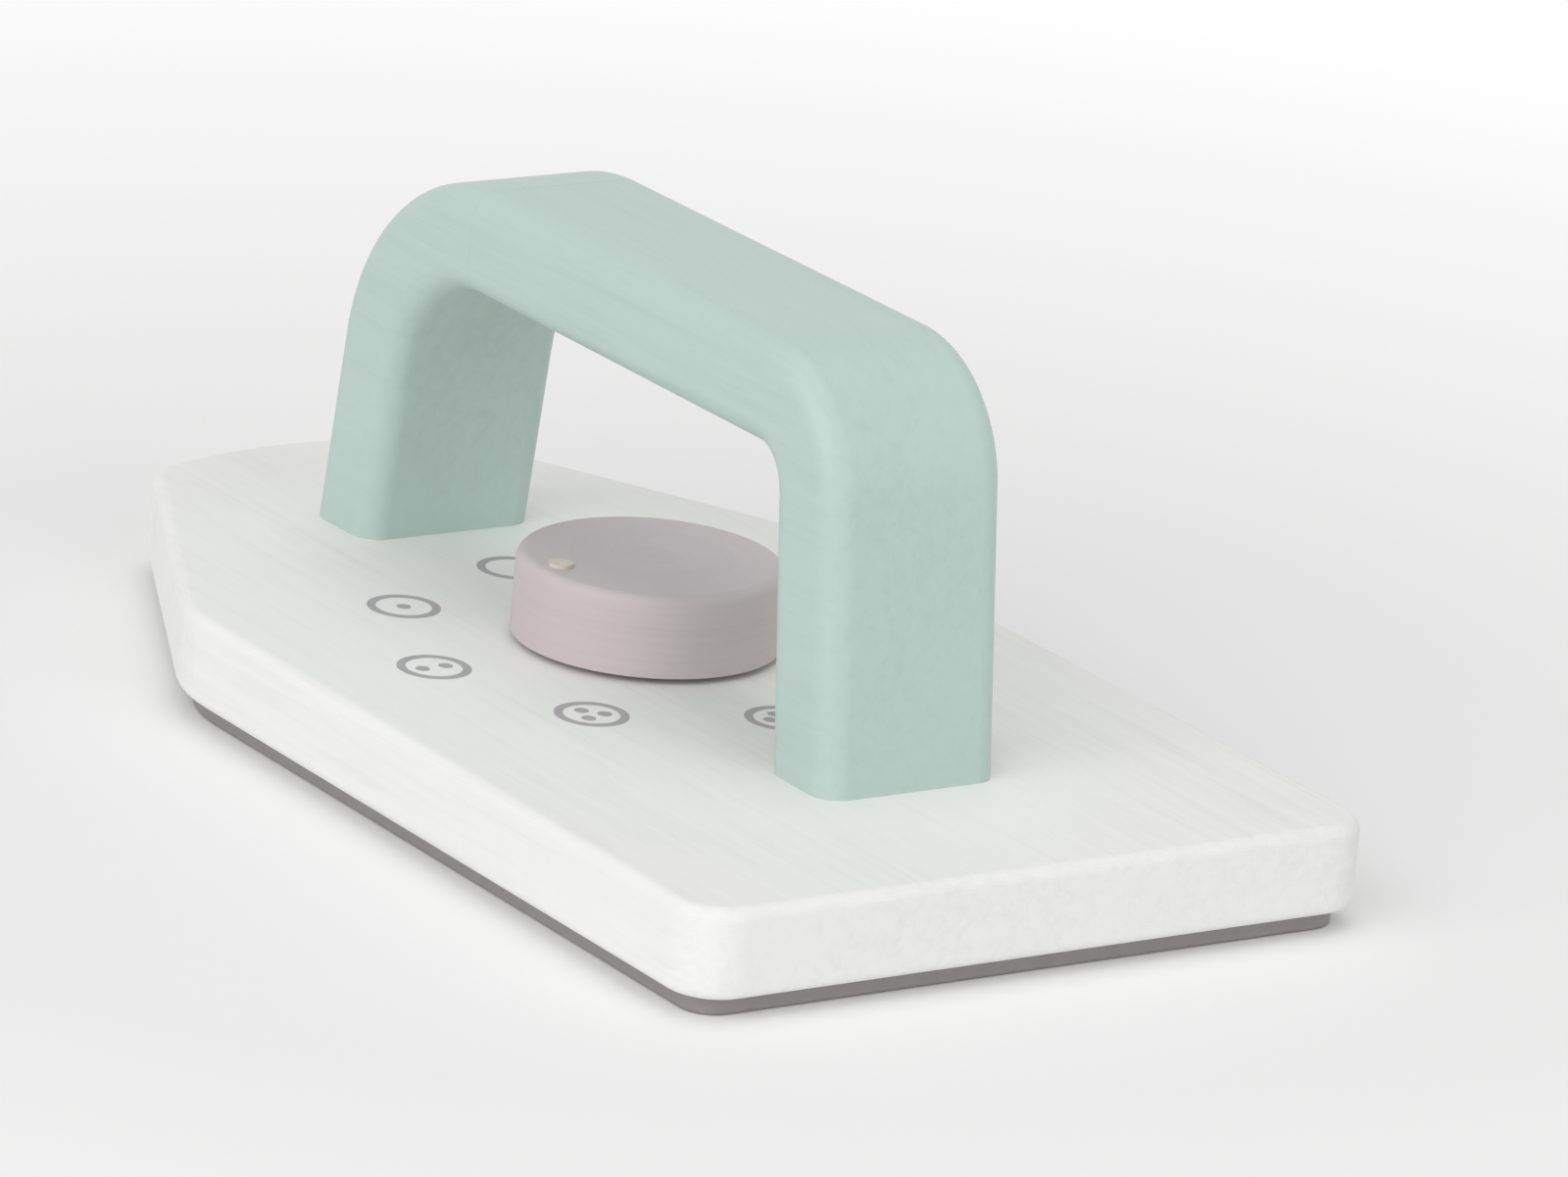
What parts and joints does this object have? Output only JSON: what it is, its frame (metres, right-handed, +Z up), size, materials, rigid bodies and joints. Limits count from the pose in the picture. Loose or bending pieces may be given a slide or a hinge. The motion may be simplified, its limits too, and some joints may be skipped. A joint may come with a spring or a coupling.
{
  "type": "toy iron",
  "caption": "Wooden toy iron: flat body with a blunt nose on a thin sole, arched handle over a finger gap, and a round setting dial that turns on a bolt.",
  "frame": {"origin": "middle of the sole's underside, on the surface that the iron rests on", "axes": "+X to the nose, +Y to the left seen from the heel, +Z up"},
  "size_m": [0.184, 0.103, 0.0685],
  "materials": {
    "white_paint": "satin paint",
    "grey_paint": "satin paint",
    "mint_paint": "satin paint",
    "beech": "raw",
    "screw_steel": "zinc plated",
    "mauve_paint": "satin paint",
    "pale_wood": "satin paint",
    "insert_brass": "plain",
    "bolt_steel": "zinc plated",
    "bush_nylon": "matte",
    "felt": "felted",
    "washer_steel": "zinc plated",
    "spring_steel": "plain"
  },
  "bodies": {
    "iron": {"base_body": "white_paint", "sole_board": "grey_paint", "handle": "mint_paint", "handle_dowels": "beech", "handle_screws": "screw_steel", "dial_bush": "bush_nylon", "dial_felt": "felt", "dial_washer": "washer_steel", "dial_spring": "spring_steel"},
    "dial": {"dial_knob": "mauve_paint", "dial_pointer": "pale_wood", "dial_insert": "insert_brass", "dial_bolt": "bolt_steel"}
  },
  "joints": [
    {"name": "dial_turn", "type": "hinge", "parent": "iron", "child": "dial", "pos_m": [0.0005, 0, 0.0145], "axis": [0, 0, 1], "continuous": true}
  ]
}
